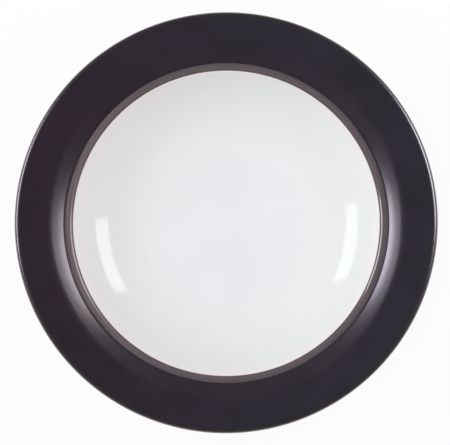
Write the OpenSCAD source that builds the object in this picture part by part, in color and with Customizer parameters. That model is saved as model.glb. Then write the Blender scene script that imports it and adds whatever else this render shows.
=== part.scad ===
// Rimmed soup plate in two-colour glazed stoneware.
// One turned clay body carries five fired coats, and each coat lies on the clay face to face.
// The origin is at the middle of the foot ring, on the table, and +Z points up out of the well.

/* [Well] */
// Diameter of the clay at the top of the well's wall
well_d = 182; // [140:1:220]
// Depth of the well, from the top of its wall to the middle of its floor
well_depth = 24; // [17:0.5:32]
// Slope of the wall at its top, in degrees
wall_angle = 48.5; // [42:0.5:70]
// Slope of the dished floor where the wall's curve begins, in degrees
floor_angle = 5.5; // [3:0.5:7]

/* [Lip and ledge] */
// Radius of the rounded lip above the wall
lip_r = 4.6; // [1:0.1:8]
// Width of the ledge between the lip and the edge of the dark coat
ledge_w = 1.5; // [1:0.1:8]
// Width of the ledge that the dark coat laps over
lap_w = 0.9; // [0.2:0.1:3]
// Slope of the ledge, in degrees
ledge_angle = 10; // [4:1:20]

/* [Rim] */
// Radius of the crease between the ledge and the shoulder
crease_r = 2.5; // [1:0.1:8]
// Radius of the shoulder that rolls up from the crease
shoulder_r = 57; // [40:1:80]
// Slope of the shoulder at the crease, in degrees
shoulder_angle = 29; // [26:0.5:36]
// Width of the straight verge above the shoulder
verge_w = 1.9; // [0.5:0.1:6]
// Slope of the verge, in degrees
verge_angle = 24.1; // [16:0.1:25]
// Radius of the bend from the verge to the rim
bend_r = 14.5; // [8:0.5:28]
// Width of the rim between the bend and its rounded edge
rim_w = 14.2; // [8:0.1:40]
// Slope of the rim, in degrees
rim_angle = 7; // [2:0.5:14]
// Thickness of the rim
rim_t = 4.2; // [3.5:0.1:7]
// Width over which the rim's edge is rounded off to an oval
edge_w = 3.2; // [2:0.1:7]

/* [Wall and foot] */
// Thickness of the floor and the wall
wall_t = 5.5; // [4:0.1:8]
// Radius of the hollow under the rim
hollow_r = 22; // [10:0.5:30]
// Diameter of the foot ring at the middle of its tread
foot_d = 110; // [70:1:130]
// Width of the foot ring
foot_w = 5; // [3:0.1:10]
// Height of the floor's underside above the table, at the middle of the plate
recess_h = 2; // [1:0.1:6]
// Radius of the fillets between the foot ring and the base
foot_fillet_r = 2.2; // [0.5:0.1:6]
// Radius of the two rounded edges of the tread
tread_r = 1; // [0.3:0.1:1.4]

/* [Glaze] */
// Thickness of the white coat in the well
white_t = 0.4; // [0.2:0.05:0.8]
// Thickness of the brown band on the lip and the ledge
band_t = 0.3; // [0.2:0.05:0.8]
// Thickness of the dark coat on the rim
rim_coat_t = 0.45; // [0.2:0.05:0.8]
// Thickness of the dark coats on the underside
under_coat_t = 0.35; // [0.2:0.05:0.8]
// Height above the table up to which the foot ring is wiped bare of glaze
wiped_h = 1.5; // [1.4:0.1:3]

/* [Hidden] */

// Furthest that a straight facet leaves its arc
arc_error = 0.01;
// Distance under which two points are the same point
same_point = 0.0001;
// Facets round a full turn
turn_steps = 180;
// Facets in a fillet of the foot ring
blend_steps = 6;
// Share of the foot ring's side that a fillet may take
fillet_share = 0.8;

clay_colour = "#b9a690";
white_colour = "#ecedee";
band_colour = "#605658";
dark_colour = "#2e2831";

// Direction of a slope, going outwards
function along(slope) = [cos(slope), sin(slope)];

// Direction square to a slope, on its upper side
function above(slope) = [-sin(slope), cos(slope)];

// Slopes at the ends of the facets of an arc, both ends included
function facets(radius, from, to) =
    let (
        widest = 2 * acos(1 - arc_error / radius),
        steps = max(1, ceil(abs(to - from) / widest))
    )
    [for (i = [0 : steps]) from + (to - from) * i / steps];

// Arc that has its centre above it, from one slope to another
function hollow_arc(centre, radius, from, to) =
    [for (slope = facets(radius, from, to)) centre - radius * above(slope)];

// Arc that has its centre below it, from one slope to another
function crown_arc(centre, radius, from, to) =
    [for (slope = facets(radius, from, to)) centre + radius * above(slope)];

// Curve that rounds off a corner between two points
function blend(start, corner, end) =
    [for (i = [0 : blend_steps])
        let (t = i / blend_steps)
        pow(1 - t, 2) * start + 2 * t * (1 - t) * corner + pow(t, 2) * end];

// Points without those that repeat the one before
function once(points) =
    [for (i = [0 : len(points) - 1])
        if (i == 0 || norm(points[i] - points[i - 1]) > same_point)
            points[i]];

// Radii of the dished floor and of the wall's curve, which meet in line at the floor's slope
floor_run = sin(floor_angle);
floor_lift = 1 - cos(floor_angle);
wall_run = sin(wall_angle) - sin(floor_angle);
wall_lift = cos(floor_angle) - cos(wall_angle);
meeting = floor_run * wall_lift - floor_lift * wall_run;
floor_r = (well_d / 2 * wall_lift - well_depth * wall_run) / meeting;
wall_r = (well_depth * floor_run - well_d / 2 * floor_lift) / meeting;

// Upper side, from the middle of the floor out to the edge
floor_z = recess_h + wall_t;
floor_c = [0, floor_z + floor_r];
wall_c = floor_c - (floor_r - wall_r) * above(floor_angle);
wall_top = wall_c - wall_r * above(wall_angle);
lip_c = wall_top - lip_r * above(wall_angle);
lip_end = lip_c + lip_r * above(ledge_angle);
ledge_end = lip_end + ledge_w * along(ledge_angle);
lap_end = ledge_end + lap_w * along(ledge_angle);
crease_c = lap_end + crease_r * above(ledge_angle);
crease_end = crease_c - crease_r * above(shoulder_angle);
shoulder_c = crease_end - shoulder_r * above(shoulder_angle);
shoulder_end = shoulder_c + shoulder_r * above(verge_angle);
bend_c = shoulder_end + verge_w * along(verge_angle) - bend_r * above(verge_angle);
bend_end = bend_c + bend_r * above(rim_angle);
rim_end = bend_end + rim_w * along(rim_angle);
edge_c = rim_end - rim_t / 2 * above(rim_angle);
edge_under = rim_end - rim_t * above(rim_angle);

// Hollow under the rim, tangent to the rim's underside and to the outside of the wall
wall_out_r = wall_r + wall_t;
floor_out_r = floor_r + wall_t;
from_wall_c = edge_under - hollow_r * above(rim_angle) - wall_c;
run_in = from_wall_c * along(rim_angle);
reach = pow(wall_out_r + hollow_r, 2) - from_wall_c * from_wall_c + pow(run_in, 2);
hollow_c = wall_c + from_wall_c + (sqrt(reach) - run_in) * along(rim_angle);
tuck = hollow_c - wall_c;
tuck_angle = atan2(tuck[0], -tuck[1]);

// Slope of the base's underside at a distance from the axis
function under_slope(r) =
    r < floor_out_r * sin(floor_angle)
        ? asin(r / floor_out_r)
        : asin((r - wall_c[0]) / wall_out_r);

// Point of the base's underside at a slope
function under_point(slope) =
    slope < floor_angle
        ? floor_c - floor_out_r * above(slope)
        : wall_c - wall_out_r * above(slope);

// Height of the base's underside at a distance from the axis
function under_z(r) = under_point(under_slope(r))[1];

// Underside of the wall and the floor, going inwards from one slope to another
function under_line(from, to) =
    concat(
        from > floor_angle ? hollow_arc(wall_c, wall_out_r, from, max(to, floor_angle)) : [],
        to < floor_angle ? hollow_arc(floor_c, floor_out_r, min(from, floor_angle), to) : []
    );

// Foot ring: a fillet at the top of each side, and a bare rounded tread
foot_out = (foot_d + foot_w) / 2;
foot_in = (foot_d - foot_w) / 2;
out_fillet = min(foot_fillet_r, (under_z(foot_out) - wiped_h) * fillet_share);
in_fillet = min(foot_fillet_r, (under_z(foot_in) - wiped_h) * fillet_share);
fillet_out = foot_out + out_fillet;
fillet_in = foot_in - in_fillet;

// The clay's outline in six stretches, from the axis over the top and back underneath
well_line = once(concat(
    hollow_arc(floor_c, floor_r, 0, floor_angle),
    hollow_arc(wall_c, wall_r, floor_angle, wall_angle)
));
band_line = concat(crown_arc(lip_c, lip_r, wall_angle, ledge_angle), [ledge_end]);
edge_line = [
    for (turn = facets(edge_w, 90, -90))
        edge_c + edge_w * cos(turn) * along(rim_angle) + rim_t / 2 * sin(turn) * above(rim_angle)
];
rim_line = once(concat(
    [ledge_end],
    hollow_arc(crease_c, crease_r, ledge_angle, shoulder_angle),
    crown_arc(shoulder_c, shoulder_r, shoulder_angle, verge_angle),
    crown_arc(bend_c, bend_r, verge_angle, rim_angle),
    edge_line
));
under_coat_line = once(concat(
    [edge_under],
    crown_arc(hollow_c, hollow_r, rim_angle, tuck_angle),
    under_line(tuck_angle, under_slope(fillet_out)),
    blend(
        [fillet_out, under_z(fillet_out)],
        [foot_out, under_z(foot_out)],
        [foot_out, under_z(foot_out) - out_fillet]
    ),
    [[foot_out, wiped_h]]
));
tread_line = once(concat(
    [[foot_out, wiped_h]],
    hollow_arc([foot_out - tread_r, tread_r], tread_r, 90, 0),
    hollow_arc([foot_in + tread_r, tread_r], tread_r, 0, -90),
    [[foot_in, wiped_h]]
));
base_line = once(concat(
    [[foot_in, wiped_h]],
    blend(
        [foot_in, under_z(foot_in) - in_fillet],
        [foot_in, under_z(foot_in)],
        [fillet_in, under_z(fillet_in)]
    ),
    under_line(under_slope(fillet_in), 0)
));
outline = once(concat(well_line, band_line, rim_line, under_coat_line, tread_line, base_line));

// Places in the outline where one stretch ends and the next begins
well_top = len(well_line) - 1;
band_top = well_top + len(band_line) - 1;
rim_under = band_top + len(rim_line) - 1;
foot_side = rim_under + len(under_coat_line) - 1;
base_side = foot_side + len(tread_line) - 1;
base_middle = base_side + len(base_line) - 1;

// Unit direction square to the way from one point to the next, out of the clay
function outward(from, to) =
    let (way = (to - from) / norm(to - from))
    [-way[1], way[0]];

// Point of the outline lifted off the clay, so that the faces on both sides rise alike
function lifted(i, thickness) =
    let (
        here = outline[i],
        before = i == 0 ? [-outline[1][0], outline[1][1]] : outline[i - 1],
        after = i == base_middle ? [-before[0], before[1]] : outline[i + 1],
        first = outward(before, here),
        both = first + outward(here, after)
    )
    here + both * thickness / (both * first);

// Coat of glaze on a stretch of the outline
module coat(from, to, thickness) {
    rotate_extrude($fn = turn_steps)
        polygon(concat(
            [for (i = [from : to]) outline[i]],
            [for (i = [to : -1 : from]) lifted(i, thickness)]
        ));
}

// Fired clay, with its foot ring turned from the same piece
module stoneware_body() {
    color(clay_colour)
        rotate_extrude($fn = turn_steps)
            polygon(outline);
}

// White coat over the floor and the wall of the well
module well_glaze() {
    color(white_colour)
        coat(0, well_top, white_t);
}

// Brown band over the lip and the ledge
module shoulder_band() {
    color(band_colour)
        coat(well_top, band_top, band_t);
}

// Dark coat over the crease, the shoulder, the rim and its edge
module rim_glaze() {
    color(dark_colour)
        coat(band_top, rim_under, rim_coat_t);
}

// Dark coat under the rim and the wall, down to the wiped foot
module underside_glaze() {
    color(dark_colour)
        coat(rim_under, foot_side, under_coat_t);
}

// Dark coat on the base inside the foot ring
module base_glaze() {
    color(dark_colour)
        coat(base_side, base_middle, under_coat_t);
}

stoneware_body();
well_glaze();
shoulder_band();
rim_glaze();
underside_glaze();
base_glaze();
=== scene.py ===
import math
from collections import namedtuple

import bpy
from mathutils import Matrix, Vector


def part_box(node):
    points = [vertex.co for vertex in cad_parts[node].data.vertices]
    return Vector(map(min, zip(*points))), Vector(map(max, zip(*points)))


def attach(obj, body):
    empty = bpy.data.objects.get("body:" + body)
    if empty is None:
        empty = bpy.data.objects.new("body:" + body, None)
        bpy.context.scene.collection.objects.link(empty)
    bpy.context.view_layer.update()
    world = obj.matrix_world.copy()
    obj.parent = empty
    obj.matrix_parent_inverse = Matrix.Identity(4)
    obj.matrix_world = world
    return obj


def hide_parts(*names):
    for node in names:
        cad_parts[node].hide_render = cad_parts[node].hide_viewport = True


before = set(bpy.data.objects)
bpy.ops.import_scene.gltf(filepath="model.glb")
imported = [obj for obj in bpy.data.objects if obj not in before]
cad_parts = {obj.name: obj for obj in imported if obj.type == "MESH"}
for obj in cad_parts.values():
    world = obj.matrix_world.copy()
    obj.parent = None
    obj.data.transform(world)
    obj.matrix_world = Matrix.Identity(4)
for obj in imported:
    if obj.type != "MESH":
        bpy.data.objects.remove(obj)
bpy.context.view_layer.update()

bl_info = {
    "name": "Rimmed soup plate",
    "version": (1, 0, 0),
    "blender": (4, 5, 0),
    "location": "3D View > Sidebar > Plate",
    "description": "Soup plate in glazed stoneware, turned piece by piece, with its studio",
    "category": "Add Mesh",
}

# Box of the solids, and the box of each one that the plate is measured from
WELL_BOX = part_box("well_glaze")
RIM_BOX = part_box("rim_glaze")
BASE_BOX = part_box("base_glaze")
# The rim's edge is facetted in the solids, and its nearest side counts
EDGE_RADIUS = min(-RIM_BOX[0].x, -RIM_BOX[0].y, RIM_BOX[1].x, RIM_BOX[1].y)

MM = 0.001
FULL_TURN = 2 * math.pi
HALF_TURN = math.pi
QUARTER_TURN = math.pi / 2

# Facets: round the axis, the widest turn in an arc, round the rim's edge, and at the end of a coat
WHEEL_STEPS = 256
ARC_STEP = math.radians(2)
EDGE_STEPS = 48
END_STEPS = 9
# Points this near are merged, and edges up to this angle are shaded smooth
MERGE_GAP = 0.001 * MM
SMOOTH_ANGLE = math.radians(40)

# Frame of the picture in pixels, and how far the plate's middle is from the middle of the picture
PICTURE_W = 450
PLATE_W = 423.3
PLATE_RIGHT = 0.97
PLATE_UP = 0.72

# Share of its own thickness that a coat has where it meets its neighbour, or none where its edge is rolled
WHITE_AT_BROWN = 0.55
BROWN_AT_WHITE = 0.73
RIM_AT_BROWN = 0.67
RIM_AT_UNDERSIDE = 0.89
UNDERSIDE_AT_RIM = 1.14
ROLLED = 0

# Plain colours, and the gloss of a glaze that isn't tinted or dulled
WHITE = (1.0, 1.0, 1.0, 1.0)
PAPER = (0.9, 0.9, 0.9, 1.0)
PLAIN_SHINE = 0.5

# Sockets of a Mix node for colours, and the easing of a Map Range node
FIRST, SECOND, BLEND = 6, 7, 2
EASED = {"interpolation_type": "SMOOTHSTEP"}

# Floor of the studio, and the share of plain white that the camera and the glazes see in it
FLOOR_RADIUS = 16
FLOOR_SIDES = 128
FLOOR_WHITE = 0.92

# Directions round the plate, and the angles and faces of lamps as seen from it, all in degrees
TO_RIGHT, TO_BACK, TO_LEFT, TO_FRONT = 0, 90, 180, 270
Softbox = namedtuple("Softbox", "turned down rolled")
LEFT_SOFTBOX = Softbox(165, 59.4, 7)
RIGHT_SOFTBOX = Softbox(22, 56.3, -6)
SOFTBOX_FACE = (29.5, 15)
CARD_DOWN = 82
CARD_FACE = (50, 14)
FILL_DOWN = 40
FILL_SPREAD = 80
# A fill is a sun, so its distance is only where it is drawn
FILL_DISTANCE = 1

# Colours of the lamps, where the strength of each is set apart
COOL_LIGHT = (0.96, 1.0, 1.1)
PLAIN_LIGHT = (1.0, 1.0, 1.0)
ROSY_LIGHT = (1.06, 0.98, 0.97)
PALE_BLUE_LIGHT = (0.99, 1.0, 1.02)
WARM_LIGHT = (1.16, 0.98, 0.78)
GREENISH_LIGHT = (0.95, 1.0, 0.99)


def linear(hex_colour):
    """Linear colour from an sRGB hex value."""
    parts = [int(hex_colour[i:i + 2], 16) / 255 for i in (1, 3, 5)]
    return tuple(p / 12.92 if p <= 0.04045 else ((p + 0.055) / 1.055) ** 2.4 for p in parts)


def length(label, about, default):
    """Property that holds a length in metres."""
    return bpy.props.FloatProperty(
        name=label, description=about, default=default, min=0.0, precision=5, unit="LENGTH")


def slope(label, about, degrees):
    """Property that holds a slope."""
    return bpy.props.FloatProperty(
        name=label, description=about, default=math.radians(degrees), subtype="ANGLE")


def colour(label, about, hex_colour):
    """Property that holds an opaque colour."""
    return bpy.props.FloatVectorProperty(
        name=label, description=about, default=(*linear(hex_colour), 1.0), size=4, min=0.0, max=1.0,
        subtype="COLOR")


class PlateSizes(bpy.types.PropertyGroup):
    """Sizes of the plate"""

    plate_radius: length("Plate radius", "Glazed edge of the rim from the axis", EDGE_RADIUS)
    well_radius: length("Well radius", "Top of the well's wall from the axis", WELL_BOX[1].x)
    floor_height: length("Floor height", "Clay at the middle of the well above the table", WELL_BOX[0].z)
    well_depth: length("Well depth", "From the top of the wall to the middle of the floor", 24 * MM)
    wall_slope: slope("Wall slope", "Slope of the well's wall at its top", 48.5)
    floor_slope: slope("Floor slope", "Slope of the dished floor where the wall begins", 5.5)
    lip_radius: length("Lip radius", "Rounding of the lip above the wall", 4.6 * MM)
    ledge_width: length("Ledge width", "Straight ledge between the lip and the dark coat", 1.5 * MM)
    ledge_slope: slope("Ledge slope", "Slope of the ledge", 10)
    lap_width: length("Lap width", "Ledge that the dark coat laps over", 0.9 * MM)
    crease_radius: length("Crease radius", "Rounding between the ledge and the shoulder", 2.5 * MM)
    shoulder_radius: length("Shoulder radius", "Rounding of the shoulder above the crease", 57 * MM)
    shoulder_slope: slope("Shoulder slope", "Slope of the shoulder at the crease", 29)
    verge_width: length("Verge width", "Straight verge above the shoulder", 1.9 * MM)
    verge_slope: slope("Verge slope", "Slope of the verge", 24.1)
    bend_radius: length("Bend radius", "Rounding between the verge and the rim", 14.5 * MM)
    rim_slope: slope("Rim slope", "Slope of the rim", 7)
    rim_thickness: length("Rim thickness", "Clay of the rim", 4.2 * MM)
    edge_width: length("Edge width", "Width over which the rim's edge is rounded", 3.2 * MM)
    wall_thickness: length("Wall thickness", "Clay of the floor and the wall", 5.5 * MM)
    hollow_radius: length("Hollow radius", "Rounding of the hollow under the rim", 22 * MM)
    foot_inside: length("Foot inside", "Inner side of the foot ring from the axis", BASE_BOX[1].x)
    foot_width: length("Foot width", "Width of the foot ring", 5 * MM)
    foot_fillet: length("Foot fillet", "Rounding between the foot ring and the base", 2.2 * MM)
    tread_rounding: length("Tread rounding", "Rounded edges of the bare tread", 1 * MM)
    wiped_height: length("Wiped height", "Foot wiped bare of glaze up to here", BASE_BOX[0].z)
    white_coat: length("White coat", "Thickness of the white glaze", 0.4 * MM)
    brown_coat: length("Brown coat", "Thickness of the brown band", 0.3 * MM)
    rim_coat: length("Rim coat", "Thickness of the dark glaze on the rim", 0.45 * MM)
    under_coat: length("Underside coat", "Thickness of the dark glaze underneath", 0.35 * MM)
    lapped_width: length("Lapped width", "Width over which the dark coat thickens at the brown", 0.9 * MM)
    wiped_width: length("Wiped width", "Width over which a wiped edge of glaze is rolled", 0.6 * MM)
    fused_width: length("Fused width", "Width over which two glazes run into each other", 1.4 * MM)


class PlateFinish(bpy.types.PropertyGroup):
    """Colours of the glazes and of the clay"""

    white: colour("White", "White liner glaze", "#ECEDEF")
    white_cloud: colour("White cloud", "White liner glaze where it is thicker", "#EAEBEC")
    # Painted shade: a warmer white on the wall of the well, for the warm shade that falls there
    white_wall_shade: colour("White wall", "White liner glaze where it has run thin on the wall", "#ECEDEB")
    # Painted light: a lighter, pinker white just below the lip, for the light that the top of the wall
    # catches
    white_painted_light_below_lip: colour("White blush", "White blushed by the brown below the lip", "#EFEBEC")
    brown: colour("Brown", "Iron wash of the band", "#6A5D60")
    # Painted highlight: a paler brown laid over the left side of the band, for light that the band catches
    # there
    brown_painted_highlight: colour("Pale brown", "Iron wash where it is thin", "#7A6D70")
    brown_streak: colour("Brown streak", "Dark brush streaks in the band", "#5B4F52")
    brown_smoke: colour("Smoky brown", "Iron wash beside the dark glaze", "#585157")
    aubergine: colour("Aubergine", "Dark glaze of the rim", "#27232F")
    aubergine_plum: colour("Plum", "Dark glaze where it turns to plum", "#291E2A")
    aubergine_ink: colour("Ink", "Dark glaze in its darkest clouds", "#1E1B24")
    aubergine_thin: colour("Thin aubergine", "Dark glaze where it is thin over an edge", "#2C2825")
    clay: colour("Clay", "Bare stoneware of the foot", "#B8A48D")
    clay_toasted: colour("Toasted clay", "Stoneware toasted by the fire beside the glaze", "#9A7F64")
    clay_grit: colour("Clay grit", "Iron grit in the stoneware", "#5A4637")


class PlateStudio(bpy.types.PropertyGroup):
    """Camera and lamps"""

    turned: slope("Turned", "Camera to the right of the front, round the plate", 15)
    elevation: slope("Elevation", "Height of the camera over the horizon", 84)
    distance: length("Distance", "Camera from the middle of the rim", 2.6)
    lamp_distance: length("Lamp distance", "Softboxes from the plate", 1.5)
    left_glow: bpy.props.FloatProperty(
        name="Left glow", description="Brightness of the left softbox against white", default=5.3)
    right_glow: bpy.props.FloatProperty(
        name="Right glow", description="Brightness of the right softbox against white", default=6.7)
    left_fill: bpy.props.FloatProperty(
        name="Left fill", description="Soft light from the left side of the white studio", default=0.395)
    right_fill: bpy.props.FloatProperty(
        name="Right fill", description="Soft light from the right side of the white studio", default=0.125)
    front_fill: bpy.props.FloatProperty(
        name="Front fill", description="Soft light from the front of the white studio", default=0.225)
    back_fill: bpy.props.FloatProperty(
        name="Back fill", description="Soft light from the back of the white studio", default=0.11)
    card_glow: bpy.props.FloatProperty(
        name="Card glow", description="Brightness of the cards at both sides against white", default=2.8)
    room_light: bpy.props.FloatProperty(
        name="Room light", description="Brightness of the dark ceiling that the glaze mirrors",
        default=0.033)


End = namedtuple("End", "width share")


def ahead(heading):
    """Direction of travel along the section, as radius and height."""
    return Vector((math.cos(heading), math.sin(heading)))


def outward(heading):
    """Direction out of the clay, square to the travel."""
    return Vector((-math.sin(heading), math.cos(heading)))


def arc(centre, radius, start, end):
    """Places along an arc with their headings; its centre is outside the clay where it turns left."""
    steps = max(1, math.ceil(abs(end - start) / ARC_STEP))
    side = -radius if end > start else radius
    headings = [start + (end - start) * i / steps for i in range(steps + 1)]
    return [(centre + side * outward(heading), heading) for heading in headings]


def oval_edge(centre, reach, half_thickness, tilt):
    """Places round the rim's oval edge with their headings, from its top to its underside."""
    places = []
    for i in range(EDGE_STEPS + 1):
        turn = QUARTER_TURN - HALF_TURN * i / EDGE_STEPS
        across, up = math.cos(turn), math.sin(turn)
        point = centre + reach * across * ahead(tilt) + half_thickness * up * outward(tilt)
        places.append((point, tilt + math.atan2(-half_thickness * across, reach * up)))
    return places


def clay_outline(size):
    """The clay's section in six stretches, from the axis over the top and back underneath."""
    # Radii of the dished floor and of the wall, which meet in line
    floor_run = math.sin(size.floor_slope)
    floor_lift = 1 - math.cos(size.floor_slope)
    wall_run = math.sin(size.wall_slope) - math.sin(size.floor_slope)
    wall_lift = math.cos(size.floor_slope) - math.cos(size.wall_slope)
    meeting = floor_run * wall_lift - floor_lift * wall_run
    floor_r = (size.well_radius * wall_lift - size.well_depth * wall_run) / meeting
    wall_r = (size.well_depth * floor_run - size.well_radius * floor_lift) / meeting
    floor_c = Vector((0, size.floor_height + floor_r))
    wall_c = floor_c - (floor_r - wall_r) * outward(size.floor_slope)
    well = arc(floor_c, floor_r, 0, size.floor_slope)
    well += arc(wall_c, wall_r, size.floor_slope, size.wall_slope)[1:]

    # Lip and ledge
    lip_c = well[-1][0] - size.lip_radius * outward(size.wall_slope)
    band = arc(lip_c, size.lip_radius, size.wall_slope, size.ledge_slope)
    ledge_end = band[-1][0] + size.ledge_width * ahead(size.ledge_slope)
    band.append((ledge_end, size.ledge_slope))

    # Crease, shoulder, verge, rim and its oval edge
    lap_end = ledge_end + size.lap_width * ahead(size.ledge_slope)
    crease_c = lap_end + size.crease_radius * outward(size.ledge_slope)
    rim = band[-1:] + arc(crease_c, size.crease_radius, size.ledge_slope, size.shoulder_slope)
    shoulder_c = rim[-1][0] - size.shoulder_radius * outward(size.shoulder_slope)
    rim += arc(shoulder_c, size.shoulder_radius, size.shoulder_slope, size.verge_slope)[1:]
    verge_end = rim[-1][0] + size.verge_width * ahead(size.verge_slope)
    bend_c = verge_end - size.bend_radius * outward(size.verge_slope)
    rim += arc(bend_c, size.bend_radius, size.verge_slope, size.rim_slope)
    half = size.rim_thickness / 2
    tilt = size.rim_slope
    edge_reach = math.hypot(size.edge_width * math.cos(tilt), half * math.sin(tilt)) + size.rim_coat
    below = rim[-1][0] - half * outward(tilt)
    rim_width = (size.plate_radius - edge_reach - below.x) / math.cos(tilt)
    edge_c = below + rim_width * ahead(tilt)
    rim += oval_edge(edge_c, size.edge_width, half, tilt)

    # Hollow under the rim, in line with the rim's underside and with the outside of the wall
    floor_out_r = floor_r + size.wall_thickness
    wall_out_r = wall_r + size.wall_thickness
    start = edge_c - (half + size.hollow_radius) * outward(tilt) - wall_c
    run_in = start.dot(ahead(tilt))
    reach = (wall_out_r + size.hollow_radius) ** 2 - start.length_squared + run_in ** 2
    tuck = start + (math.sqrt(reach) - run_in) * ahead(tilt)
    tuck_slope = math.atan2(tuck.x, -tuck.y)
    back = -HALF_TURN
    underside = [rim[-1]]
    underside += arc(wall_c + tuck, size.hollow_radius, back + tilt, back + tuck_slope)

    # Foot ring, with a fillet at the top of each side
    foot_outside = size.foot_inside + size.foot_width
    fillet = size.foot_fillet
    out_slope, out_c = foot_fillet(wall_c, wall_out_r, foot_outside + fillet, fillet)
    in_slope, in_c = foot_fillet(wall_c, wall_out_r, size.foot_inside - fillet, fillet)
    down = -QUARTER_TURN
    up = -HALF_TURN - QUARTER_TURN
    underside += arc(wall_c, wall_out_r, back + tuck_slope, back + out_slope)[1:]
    underside += arc(out_c, fillet, back + out_slope, down)[1:]
    underside.append((Vector((foot_outside, size.wiped_height)), down))
    tread_r = size.tread_rounding
    tread = [underside[-1]]
    tread += arc(Vector((foot_outside - tread_r, tread_r)), tread_r, down, back)
    tread += arc(Vector((size.foot_inside + tread_r, tread_r)), tread_r, back, up)
    tread.append((Vector((size.foot_inside, size.wiped_height)), up))
    base = [tread[-1]]
    base += arc(in_c, fillet, up, back + in_slope)
    base += arc(wall_c, wall_out_r, back + in_slope, back + size.floor_slope)[1:]
    base += arc(floor_c, floor_out_r, back + size.floor_slope, back)[1:]
    return {"well": well, "band": band, "rim": rim, "underside": underside, "tread": tread, "base": base}


def foot_fillet(wall_c, wall_out_r, radius, fillet):
    """Slope at which a fillet of the foot leaves the base, and the fillet's centre at that radius."""
    leaves = math.asin((radius - wall_c.x) / (wall_out_r + fillet))
    return leaves, wall_c - (wall_out_r + fillet) * outward(leaves)


def rise(end, way):
    """Share of its full thickness that a coat has, some way in from one of its ends."""
    if end is None:
        return 1.0
    part = min(1.0, way / end.width)
    if end.share == ROLLED:
        return math.sqrt(1 - (1 - part) ** 2)
    return end.share + (1 - end.share) * part * part * (3 - 2 * part)


def coat_section(stretch, thickness, start=None, end=None):
    """Line along the clay and back along the glaze that lies on it, with the coat's ends shaped."""
    ways = [0.0]
    for (here, _), (there, _) in zip(stretch, stretch[1:]):
        ways.append(ways[-1] + (there - here).length)
    whole = ways[-1]
    curls = [1 - math.cos(QUARTER_TURN * i / END_STEPS) for i in range(1, END_STEPS + 1)]
    stops = set(ways)
    if start:
        stops.update(start.width * curl for curl in curls)
    if end:
        stops.update(whole - end.width * curl for curl in curls)
    clay_side, glaze_side = [], []
    i = 0
    last = -1.0
    for way in sorted(stops):
        if way - last < MERGE_GAP * 2:
            continue
        last = way
        while i < len(ways) - 2 and ways[i + 1] < way:
            i += 1
        span = ways[i + 1] - ways[i]
        part = (way - ways[i]) / span if span else 0.0
        (here, from_heading), (there, to_heading) = stretch[i], stretch[i + 1]
        point = here.lerp(there, part)
        heading = from_heading + (to_heading - from_heading) * part
        lift = thickness * rise(start, way) * rise(end, whole - way)
        clay_side.append(point)
        glaze_side.append(point + lift * outward(heading))
    return clay_side + glaze_side[::-1]


def turn_on_wheel(name, section):
    """Draw a section beside the axis and spin it into one closed piece."""
    ends_on_axis = section[0].x < MERGE_GAP and section[-1].x < MERGE_GAP
    line = section if ends_on_axis else section + section[:1]
    points = [Vector((point.x, 0, point.y)) for point in line]
    bpy.ops.object.select_all(action="DESELECT")
    bpy.ops.mesh.primitive_plane_add(size=MM)
    piece = bpy.context.object
    piece.name = name
    piece.data.name = name
    bpy.ops.object.mode_set(mode="EDIT")
    bpy.ops.mesh.merge(type="CENTER")
    bpy.ops.transform.translate(value=points[0])
    for here, there in zip(points, points[1:]):
        bpy.ops.mesh.extrude_vertices_move(TRANSFORM_OT_translate={"value": there - here})
    bpy.ops.mesh.select_all(action="SELECT")
    bpy.ops.mesh.remove_doubles(threshold=MERGE_GAP)
    bpy.ops.mesh.spin(steps=WHEEL_STEPS, angle=FULL_TURN, center=(0, 0, 0), axis=(0, 0, 1))
    bpy.ops.mesh.select_all(action="SELECT")
    bpy.ops.mesh.remove_doubles(threshold=MERGE_GAP)
    bpy.ops.mesh.normals_make_consistent(inside=False)
    bpy.ops.object.mode_set(mode="OBJECT")
    bpy.ops.object.shade_smooth_by_angle(angle=SMOOTH_ANGLE)
    return piece


def dress(piece, node, finish):
    """Put a finished piece in the place of its solid, with its material."""
    piece.data.materials.append(finish)
    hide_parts(node)
    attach(piece, "root")


def add(tree, kind, inputs=None, out=0, **settings):
    """Add a node with its settings, set or link its inputs, and give one of its outputs."""
    made = tree.nodes.new(kind)
    for name, value in settings.items():
        setattr(made, name, value)
    for name, value in (inputs or {}).items():
        if isinstance(value, bpy.types.NodeSocket):
            tree.links.new(value, made.inputs[name])
        else:
            made.inputs[name].default_value = value
    return made.outputs[out] if made.outputs else None


def per(size_in_mm):
    """Scale of a pattern whose marks have that size."""
    return 1 / (size_in_mm * MM)


def new_finish(name):
    """Empty material, and its node tree."""
    finish = bpy.data.materials.new(name)
    finish.use_nodes = True
    finish.node_tree.nodes.clear()
    return finish, finish.node_tree


def wheel_places(tree):
    """Place on the plate, the same place laid flat, and its distance from the axis."""
    place = add(tree, "ShaderNodeTexCoord", out="Object")
    flat = add(tree, "ShaderNodeVectorMath", {0: place, 1: (1, 1, 0)}, operation="MULTIPLY")
    radius = add(tree, "ShaderNodeVectorMath", {0: flat}, "Value", operation="LENGTH")
    return place, flat, radius


def ring_places(tree, flat, radius, along_mm, across_mm):
    """Coordinates stretched round the axis, so that the marks of a pattern become rings."""
    round_axis = add(
        tree, "ShaderNodeVectorMath", {0: flat, "Scale": across_mm / along_mm}, operation="SCALE")
    outwards = add(tree, "ShaderNodeCombineXYZ", {"Z": radius})
    return add(tree, "ShaderNodeVectorMath", {0: round_axis, 1: outwards}, operation="ADD")


def close_finish(tree, base, roughness, height, relief_mm, ior, gloss=WHITE, shine=PLAIN_SHINE):
    """Join colour, roughness and relief in one surface, with the tint and the strength of its gloss."""
    normal = add(tree, "ShaderNodeBump", {"Height": height, "Strength": 1.0, "Distance": relief_mm * MM})
    surface = add(
        tree, "ShaderNodeBsdfPrincipled",
        {"Base Color": base, "Roughness": roughness, "IOR": ior, "Specular IOR Level": shine,
         "Specular Tint": gloss, "Normal": normal})
    add(tree, "ShaderNodeOutputMaterial", {"Surface": surface})


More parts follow.
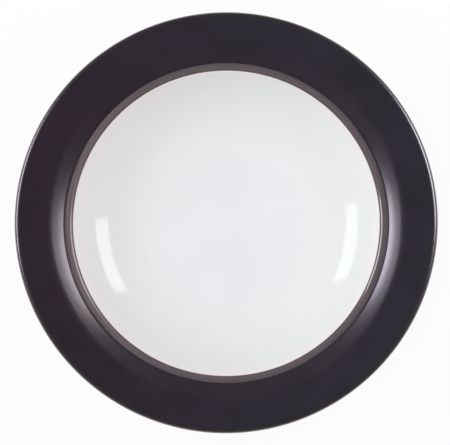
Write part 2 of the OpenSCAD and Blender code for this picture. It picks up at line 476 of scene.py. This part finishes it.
def white_liner_glaze(colours, size):
    """White tin glaze, fired glossy: cool in the middle, with painted shade that warms the wall and painted
    light just below the lip, and sharp lamps in it.
    """
    cloud_mm, grain_mm, ripple_mm, ripple_relief_mm = 32, 4, 14, 0.02
    ior = 1.37
    lip = size.well_radius
    wall_from, wall_to = 0.4 * lip, 0.7 * lip
    lit_lip_from, lit_lip_to = lip - 8 * MM, lip - 2 * MM
    soak_from, soak_to = lip - 0.32 * MM, lip - 0.14 * MM
    finish, tree = new_finish("white_liner_glaze")
    place, _, radius = wheel_places(tree)
    cloud, grain, ripple = (
        add(tree, "ShaderNodeTexNoise", {"Vector": place, "Scale": per(marks_mm), "Detail": detail})
        for marks_mm, detail in ((cloud_mm, 2.0), (grain_mm, 2.0), (ripple_mm, 1.0)))

    # Each tint with the value that lays it on, and the span over which it comes
    base = colours.white
    for value, start, end, tint in (
            (cloud, 0.35, 0.65, colours.white_cloud),
            # Painted shade: the wall is tinted warmer, for the warm shade on it
            (radius, wall_from, wall_to, colours.white_wall_shade),
            # Painted light: the white is made lighter and pinker just below the lip
            (radius, lit_lip_from, lit_lip_to, colours.white_painted_light_below_lip),
            (radius, soak_from, soak_to, colours.brown)):
        share = add(
            tree, "ShaderNodeMapRange", {"Value": value, "From Min": start, "From Max": end}, **EASED)
        base = add(tree, "ShaderNodeMix", {0: share, FIRST: base, SECOND: tint}, BLEND, data_type="RGBA")

    roughness = add(
        tree, "ShaderNodeMapRange",
        {"Value": grain, "From Min": 0.3, "From Max": 0.7, "To Min": 0.07, "To Max": 0.1}, **EASED)
    close_finish(tree, base, roughness, ripple, ripple_relief_mm, ior)
    return finish


def brown_iron_wash(colours, size):
    """Iron wash brushed on the turning wheel: warm grey brown in fine rings, smoky beside the dark glaze,
    darker just past the lip, with a painted highlight over its left side.
    """
    stroke_mm, hair_mm, hair_relief_mm = 22, 0.6, 0.008
    ior = 2.0
    gloss = (1.0, 0.88, 0.87, 1.0)
    most_streaked = 0.7
    lip = size.well_radius
    painted_highlight_to = -0.3 * lip
    smoke_from, smoke_to = lip + 1.2 * MM, lip + 4.2 * MM
    inner_to, outer_from = lip + 0.3 * MM, lip + 0.8 * MM
    finish, tree = new_finish("brown_iron_wash")
    place, flat, radius = wheel_places(tree)
    side = add(tree, "ShaderNodeSeparateXYZ", {0: place}, "X")
    rings = ring_places(tree, flat, radius, stroke_mm, hair_mm)
    hairs, ridges = (
        add(tree, "ShaderNodeTexNoise", {"Vector": rings, "Scale": per(hair_mm), "Detail": detail})
        for detail in (3.0, 2.0))

    # Each value with its span, and what the start and the end of that span give
    smoke, painted_highlight, streak, inner_share, worn, shine = (
        add(tree, "ShaderNodeMapRange",
            {"Value": value, "From Min": start, "From Max": end, "To Min": at_start, "To Max": at_end},
            **EASED)
        for value, start, end, at_start, at_end in (
            (radius, smoke_from, smoke_to, 0.0, 1.0),
            # Painted highlight: the band is paler towards its left side
            (side, -lip, painted_highlight_to, 0.8, 0.0),
            (hairs, 0.35, 0.7, 0.0, most_streaked),
            # The band is laid darker just past the lip
            (radius, inner_to, outer_from, 1.0, 0.0),
            (side, -lip, lip, 0.26, 0.15),
            (side, -lip, lip, 0.4, 0.55)))
    matt = add(
        tree, "ShaderNodeMapRange",
        {"Value": streak, "From Max": most_streaked, "To Min": -0.02, "To Max": 0.02}, **EASED)
    roughness = add(tree, "ShaderNodeMath", {0: worn, 1: matt}, operation="ADD")
    base = colours.brown
    for share, tint in (
            (smoke, colours.brown_smoke), (painted_highlight, colours.brown_painted_highlight),
            (streak, colours.brown_streak), (inner_share, colours.brown_streak)):
        base = add(tree, "ShaderNodeMix", {0: share, FIRST: base, SECOND: tint}, BLEND, data_type="RGBA")
    close_finish(tree, base, roughness, ridges, hair_relief_mm, ior, gloss, shine)
    return finish


def aubergine_satin_glaze(name, colours, size, ring_relief_mm, blue_roughness, plum_roughness):
    """Manganese and iron glaze, fired satin: nearly black, blue or plum in clouds, brown where thin."""
    drift_mm, ink_mm, grain_mm = 38, 24, 2.2
    turning_mm, ring_mm = 40, 1.1
    ior = 2.6
    blue_shine, plum_shine = 0.5, 0.31
    blue_gloss, plum_gloss = (1.0, 0.91, 0.965, 1.0), (1.0, 0.87, 0.84, 1.0)
    sway = 30 * MM
    plum_to, blue_from = -110 * MM, 20 * MM
    pooled_to, pooled_end = size.well_radius + 8 * MM, size.well_radius + 22 * MM
    inner_to, outer_from = size.plate_radius - 3 * MM, size.plate_radius - 0.6 * MM
    finish, tree = new_finish(name)
    place, flat, radius = wheel_places(tree)
    side = add(tree, "ShaderNodeSeparateXYZ", {0: place}, "X")
    rings = ring_places(tree, flat, radius, turning_mm, ring_mm)
    clouds, inks, grain = (
        add(tree, "ShaderNodeTexNoise", {"Vector": place, "Scale": per(marks_mm), "Detail": detail})
        for marks_mm, detail in ((drift_mm, 3.0), (ink_mm, 1.0), (grain_mm, 3.0)))
    ridges = add(tree, "ShaderNodeTexNoise", {"Vector": rings, "Scale": per(ring_mm)})

    # Each value with its span, and what the start and the end of that span give
    swayed, inner_share, pooled, ink, matt = (
        add(tree, "ShaderNodeMapRange",
            {"Value": value, "From Min": start, "From Max": end, "To Min": at_start, "To Max": at_end},
            **EASED)
        for value, start, end, at_start, at_end in (
            (clouds, 0.3, 0.7, -sway, sway),
            # The dark glaze thins over the rim's edge and turns brown there
            (radius, inner_to, outer_from, 1.0, 0.0),
            (radius, pooled_to, pooled_end, 0.6, 0.0),
            (inks, 0.4, 0.65, 0.0, 0.5),
            (grain, 0.3, 0.7, -0.005, 0.005)))
    drift = add(tree, "ShaderNodeMath", {0: side, 1: swayed}, operation="ADD")
    plum = add(
        tree, "ShaderNodeMapRange",
        {"Value": drift, "From Min": plum_to, "From Max": blue_from, "To Min": 1.0, "To Max": 0.0}, **EASED)
    plum = add(tree, "ShaderNodeMath", {0: plum, 1: inner_share}, operation="MULTIPLY")
    satin, shine = (
        add(tree, "ShaderNodeMapRange", {"Value": plum, "To Min": in_blue, "To Max": in_plum}, **EASED)
        for in_blue, in_plum in ((blue_roughness, plum_roughness), (blue_shine, plum_shine)))
    roughness = add(tree, "ShaderNodeMath", {0: satin, 1: matt}, operation="ADD")

    base = colours.aubergine
    for share, tint in (
            (plum, colours.aubergine_plum), (pooled, colours.aubergine_plum), (ink, colours.aubergine_ink)):
        base = add(tree, "ShaderNodeMix", {0: share, FIRST: base, SECOND: tint}, BLEND, data_type="RGBA")
    base = add(
        tree, "ShaderNodeMix", {0: inner_share, FIRST: colours.aubergine_thin, SECOND: base}, BLEND,
        data_type="RGBA")
    gloss = add(
        tree, "ShaderNodeMix", {0: plum, FIRST: blue_gloss, SECOND: plum_gloss}, BLEND, data_type="RGBA")
    close_finish(tree, base, roughness, ridges, ring_relief_mm, ior, gloss, shine)
    return finish


def bare_buff_stoneware(colours, size):
    """Bare stoneware, turned and wiped: buff and dry, toasted beside the glaze, with dark iron grit."""
    turning_mm, sand_mm, sand_relief_mm, grit_mm = 12, 0.5, 0.05, 1.4
    ior = 1.5
    toast_from, toast_to = 0.3 * size.wiped_height, size.wiped_height
    finish, tree = new_finish("bare_buff_stoneware")
    place, flat, radius = wheel_places(tree)
    height = add(tree, "ShaderNodeSeparateXYZ", {0: place}, "Z")
    rings = ring_places(tree, flat, radius, turning_mm, sand_mm)
    sand = add(tree, "ShaderNodeTexNoise", {"Vector": rings, "Scale": per(sand_mm), "Detail": 4.0})
    specks = add(tree, "ShaderNodeTexVoronoi", {"Vector": place, "Scale": per(grit_mm)}, "Distance")

    # Each value with its span, and what the start and the end of that span give
    toast, grit, roughness = (
        add(tree, "ShaderNodeMapRange",
            {"Value": value, "From Min": start, "From Max": end, "To Min": at_start, "To Max": at_end},
            **EASED)
        for value, start, end, at_start, at_end in (
            (height, toast_from, toast_to, 0.0, 1.0),
            (specks, 0.12, 0.2, 1.0, 0.0),
            (sand, 0.3, 0.7, 0.75, 0.9)))
    base = colours.clay
    for share, tint in ((toast, colours.clay_toasted), (grit, colours.clay_grit)):
        base = add(tree, "ShaderNodeMix", {0: share, FIRST: base, SECOND: tint}, BLEND, data_type="RGBA")
    close_finish(tree, base, roughness, sand, sand_relief_mm, ior)
    return finish


class PLATE_OT_turn_clay_body(bpy.types.Operator):
    """Turn the clay body with its foot ring"""

    bl_idname = "plate.turn_clay_body"
    bl_label = "Turn the clay body"

    def execute(self, context):
        size = context.scene.plate_sizes
        outline = clay_outline(size)
        section = []
        for stretch in outline.values():
            points = [point for point, _ in stretch]
            section += points[1:] if section else points
        piece = turn_on_wheel("turned_clay_body", section)
        finish = bare_buff_stoneware(context.scene.plate_finish, size)
        dress(piece, "stoneware_body", finish)
        return {"FINISHED"}


class PLATE_OT_coat_well(bpy.types.Operator):
    """Coat the well in white, up to the top of its wall"""

    bl_idname = "plate.coat_well"
    bl_label = "Coat the well"

    def execute(self, context):
        size = context.scene.plate_sizes
        stretch = clay_outline(size)["well"]
        section = coat_section(stretch, size.white_coat, end=End(size.fused_width, WHITE_AT_BROWN))
        piece = turn_on_wheel("white_well_coat", section)
        finish = white_liner_glaze(context.scene.plate_finish, size)
        dress(piece, "well_glaze", finish)
        return {"FINISHED"}


class PLATE_OT_brush_band(bpy.types.Operator):
    """Brush the brown band on the lip and the ledge"""

    bl_idname = "plate.brush_band"
    bl_label = "Brush the band"

    def execute(self, context):
        size = context.scene.plate_sizes
        stretch = clay_outline(size)["band"]
        section = coat_section(stretch, size.brown_coat, start=End(size.wiped_width, BROWN_AT_WHITE))
        piece = turn_on_wheel("brown_lip_band", section)
        dress(piece, "shoulder_band", brown_iron_wash(context.scene.plate_finish, size))
        return {"FINISHED"}


class PLATE_OT_coat_rim(bpy.types.Operator):
    """Coat the crease, the shoulder, the rim and its edge"""

    bl_idname = "plate.coat_rim"
    bl_label = "Coat the rim"

    def execute(self, context):
        size = context.scene.plate_sizes
        stretch = clay_outline(size)["rim"]
        start = End(size.lapped_width, RIM_AT_BROWN)
        end = End(size.fused_width, RIM_AT_UNDERSIDE)
        section = coat_section(stretch, size.rim_coat, start=start, end=end)
        piece = turn_on_wheel("aubergine_rim_coat", section)
        finish = aubergine_satin_glaze(
            "aubergine_satin_glaze", context.scene.plate_finish, size, ring_relief_mm=0.0015,
            blue_roughness=0.265, plum_roughness=0.29)
        dress(piece, "rim_glaze", finish)
        return {"FINISHED"}


class PLATE_OT_coat_underside(bpy.types.Operator):
    """Coat the underside down to the wiped foot, and the base inside the foot ring"""

    bl_idname = "plate.coat_underside"
    bl_label = "Coat the underside"

    def execute(self, context):
        size = context.scene.plate_sizes
        outline = clay_outline(size)
        finish = aubergine_satin_glaze(
            "aubergine_underside_glaze", context.scene.plate_finish, size, ring_relief_mm=0.03,
            blue_roughness=0.36, plum_roughness=0.46)
        seam = End(size.fused_width, UNDERSIDE_AT_RIM)
        bead = End(size.wiped_width, ROLLED)
        section = coat_section(outline["underside"], size.under_coat, start=seam, end=bead)
        piece = turn_on_wheel("aubergine_underside_coat", section)
        dress(piece, "underside_glaze", finish)
        section = coat_section(outline["base"], size.under_coat, start=bead)
        piece = turn_on_wheel("aubergine_base_coat", section)
        dress(piece, "base_glaze", finish)
        return {"FINISHED"}


def aimed(direction):
    """Rotation that points a camera or a lamp along a direction, with its top upwards."""
    return direction.to_track_quat("-Z", "Y").to_euler()


def add_lamp(kind, name, target, turned, down, distance, light):
    """Lamp at an angle round the plate and an angle down from straight above, aimed at the plate."""
    turned, down = math.radians(turned), math.radians(down)
    way = Vector((
        math.sin(down) * math.cos(turned), math.sin(down) * math.sin(turned), math.cos(down)))
    bpy.ops.object.light_add(type=kind, location=target + distance * way, rotation=aimed(-way))
    lamp = bpy.context.object
    lamp.name = name
    lamp.data.color = light
    lamp.visible_camera = False
    return lamp


def add_panel(name, target, distance, turned, down, face, glow, light):
    """Lamp with a face of so many degrees across and up, as bright as told against white."""
    lamp = add_lamp("AREA", name, target, turned, down, distance, light)
    lamp.data.shape = "RECTANGLE"
    lamp.data.size, lamp.data.size_y = (2 * distance * math.tan(math.radians(side) / 2) for side in face)
    lamp.data.energy = glow * math.pi * lamp.data.size * lamp.data.size_y
    return lamp


def add_softbox(name, target, distance, place, glow):
    """Cool softbox, rolled about its own axis, which the glaze mirrors."""
    lamp = add_panel(name, target, distance, place.turned, place.down, SOFTBOX_FACE, glow, COOL_LIGHT)
    lamp.rotation_euler.rotate_axis("Z", math.radians(place.rolled))


def add_card(name, target, distance, turned, glow, light):
    """Low wide card at one side, which lights the wall of the well and isn't mirrored."""
    lamp = add_panel(name, target, distance, turned, CARD_DOWN, CARD_FACE, glow, light)
    lamp.visible_glossy = False


def add_fill(name, target, turned, glow, light):
    """Wide soft light from one side of the studio, which the glaze doesn't mirror."""
    lamp = add_lamp("SUN", name, target, turned, FILL_DOWN, FILL_DISTANCE, light)
    lamp.data.angle = math.radians(FILL_SPREAD)
    lamp.data.energy = glow * math.pi
    lamp.visible_glossy = False


def dim_room(glow):
    """Room that the glaze mirrors beside the softboxes: dark overhead and twice as pale at its walls."""
    room = bpy.data.worlds.new("dim_room")
    room.use_nodes = True
    tree = room.node_tree
    tree.nodes.clear()
    way = add(tree, "ShaderNodeTexCoord", out="Generated")
    up = add(tree, "ShaderNodeSeparateXYZ", {0: way}, "Z")
    level = add(
        tree, "ShaderNodeMapRange",
        {"Value": up, "From Min": 0.6, "From Max": 0.95, "To Min": 2 * glow, "To Max": glow}, **EASED)
    sky = add(tree, "ShaderNodeBackground", {"Color": WHITE, "Strength": level})
    add(tree, "ShaderNodeOutputWorld", {"Surface": sky})
    return room


def studio_floor_paint():
    """Matt white paper that the picture shows as plain white, with the plate's shadow on it."""
    finish, tree = new_finish("white_paper_floor")
    paper = add(tree, "ShaderNodeBsdfDiffuse", {"Color": PAPER})
    white = add(tree, "ShaderNodeEmission", {"Color": WHITE, "Strength": 1.0})
    ray = add(tree, "ShaderNodeLightPath").node.outputs
    seen = ray["Is Camera Ray"]
    for kind in ("Is Glossy Ray", "Is Transmission Ray"):
        seen = add(tree, "ShaderNodeMath", {0: seen, 1: ray[kind]}, operation="MAXIMUM")
    share = add(tree, "ShaderNodeMath", {0: seen, 1: FLOOR_WHITE}, operation="MULTIPLY")
    shown = add(tree, "ShaderNodeMixShader", {0: share, 1: paper, 2: white})
    add(tree, "ShaderNodeOutputMaterial", {"Surface": shown})
    return finish


class PLATE_OT_set_stage(bpy.types.Operator):
    """Set up the floor, the lamps and the camera"""

    bl_idname = "plate.set_stage"
    bl_label = "Set up the studio"

    def execute(self, context):
        scene = context.scene
        studio = scene.plate_studio
        size = scene.plate_sizes
        scene.view_settings.view_transform = "Standard"
        bpy.ops.object.select_all(action="DESELECT")
        bpy.ops.mesh.primitive_circle_add(vertices=FLOOR_SIDES, radius=FLOOR_RADIUS, fill_type="NGON")
        floor = context.object
        floor.name = "studio_floor"
        floor.data.materials.append(studio_floor_paint())
        scene.world = dim_room(studio.room_light)

        target = Vector((0, 0, RIM_BOX[1].z - size.rim_coat - size.rim_thickness / 2))
        off = studio.lamp_distance
        add_softbox("left_softbox", target, off, LEFT_SOFTBOX, studio.left_glow)
        add_softbox("right_softbox", target, off, RIGHT_SOFTBOX, studio.right_glow)
        add_card("left_card", target, off, TO_LEFT, studio.card_glow, PLAIN_LIGHT)
        add_card("right_card", target, off, TO_RIGHT, studio.card_glow, ROSY_LIGHT)
        add_fill("left_fill", target, TO_LEFT, studio.left_fill, PALE_BLUE_LIGHT)
        add_fill("right_fill", target, TO_RIGHT, studio.right_fill, WARM_LIGHT)
        add_fill("front_fill", target, TO_FRONT, studio.front_fill, GREENISH_LIGHT)
        add_fill("back_fill", target, TO_BACK, studio.back_fill, GREENISH_LIGHT)

        # Camera, turned about its own axis so that the plate's back stays at the top of the picture
        pixel = 2 * size.plate_radius / PLATE_W
        off_axis = math.cos(studio.elevation)
        back = Vector((
            off_axis * math.sin(studio.turned), -off_axis * math.cos(studio.turned),
            math.sin(studio.elevation)))
        facing = aimed(-back)
        facing.rotate_axis("Z", -studio.turned)
        picture_right, picture_up, _ = facing.to_matrix().col
        aim = target - pixel * (PLATE_RIGHT * picture_right + PLATE_UP * picture_up)
        bpy.ops.object.camera_add(location=aim + studio.distance * back, rotation=facing)
        camera = context.object
        camera.name = "studio_camera"
        camera.data.lens = camera.data.sensor_width * studio.distance / (PICTURE_W * pixel)
        scene.camera = camera
        return {"FINISHED"}


class PLATE_PT_sidebar(bpy.types.Panel):
    """Sizes, colours and steps of the plate"""

    bl_idname = "PLATE_PT_sidebar"
    bl_label = "Rimmed soup plate"
    bl_space_type = "VIEW_3D"
    bl_region_type = "UI"
    bl_category = "Plate"

    def draw(self, context):
        layout = self.layout
        scene = context.scene
        for operator in OPERATORS:
            layout.operator(operator.bl_idname)
        for group in (scene.plate_sizes, scene.plate_finish, scene.plate_studio):
            box = layout.box()
            for name in group.__annotations__:
                box.prop(group, name)


OPERATORS = (
    PLATE_OT_set_stage,
    PLATE_OT_turn_clay_body,
    PLATE_OT_coat_well,
    PLATE_OT_brush_band,
    PLATE_OT_coat_rim,
    PLATE_OT_coat_underside,
)
CLASSES = (PlateSizes, PlateFinish, PlateStudio, *OPERATORS, PLATE_PT_sidebar)


def register():
    for made in CLASSES:
        bpy.utils.register_class(made)
    bpy.types.Scene.plate_sizes = bpy.props.PointerProperty(type=PlateSizes)
    bpy.types.Scene.plate_finish = bpy.props.PointerProperty(type=PlateFinish)
    bpy.types.Scene.plate_studio = bpy.props.PointerProperty(type=PlateStudio)


def unregister():
    del bpy.types.Scene.plate_studio
    del bpy.types.Scene.plate_finish
    del bpy.types.Scene.plate_sizes
    for made in reversed(CLASSES):
        bpy.utils.unregister_class(made)


def main():
    register()
    bpy.ops.plate.set_stage()
    bpy.ops.plate.turn_clay_body()
    bpy.ops.plate.coat_well()
    bpy.ops.plate.brush_band()
    bpy.ops.plate.coat_rim()
    bpy.ops.plate.coat_underside()


if __name__ == "__main__":
    main()
